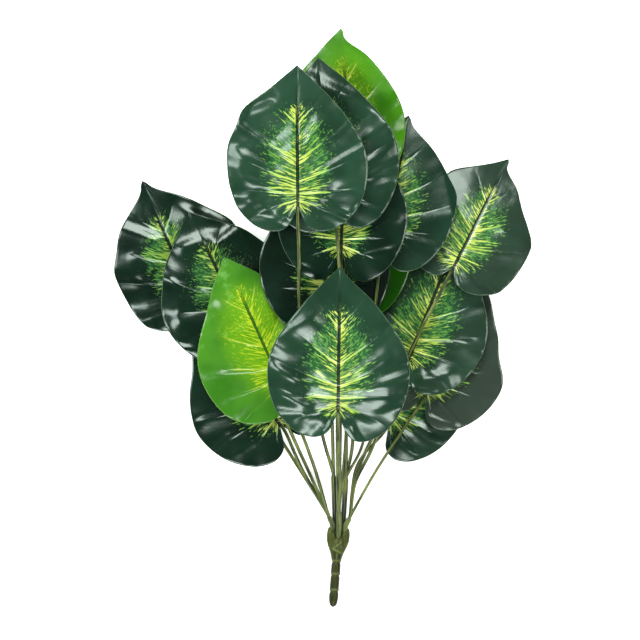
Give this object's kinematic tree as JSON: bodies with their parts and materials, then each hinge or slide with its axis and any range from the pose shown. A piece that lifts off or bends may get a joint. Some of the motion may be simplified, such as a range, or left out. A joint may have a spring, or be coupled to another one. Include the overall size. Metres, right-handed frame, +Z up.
{
  "type": "artificial philodendron leaf bunch",
  "caption": "Artificial philodendron bunch: glossy heart-shaped variegated and light green blades on forking coated stems, gathered in a moulded handle.",
  "frame": {"origin": "middle of the lying bunch's footprint, at table height", "axes": "+X across the bunch, +Y from the handle to the tip of the top leaf, +Z up from the table and out of the leaf faces"},
  "size_m": [0.3504, 0.4824, 0.0945],
  "materials": {
    "leaf_variegated": "soft gloss, embossed veins, printed yellow-green strokes along the veins",
    "leaf_light_green": "soft gloss, embossed veins, printed pale strokes beside the midrib",
    "stem": "satin olive plastic moulded over wire",
    "handle": "satin dark olive plastic"
  },
  "bodies": {
    "root": {"leaf_01": "leaf_variegated", "leaf_02": "leaf_variegated", "leaf_03": "leaf_light_green", "leaf_04": "leaf_variegated", "leaf_05": "leaf_variegated", "leaf_06": "leaf_variegated", "leaf_07": "leaf_light_green", "leaf_08": "leaf_variegated", "leaf_09": "leaf_variegated", "leaf_10": "leaf_variegated", "leaf_11": "leaf_variegated", "leaf_12": "leaf_variegated", "leaf_13": "leaf_light_green", "leaf_14": "leaf_variegated", "leaf_15": "leaf_variegated", "leaf_16": "leaf_variegated", "branch_left": "stem", "branch_centre_left": "stem", "branch_centre": "stem", "branch_centre_right": "stem", "branch_right": "stem", "handle": "handle"}
  },
  "joints": []
}
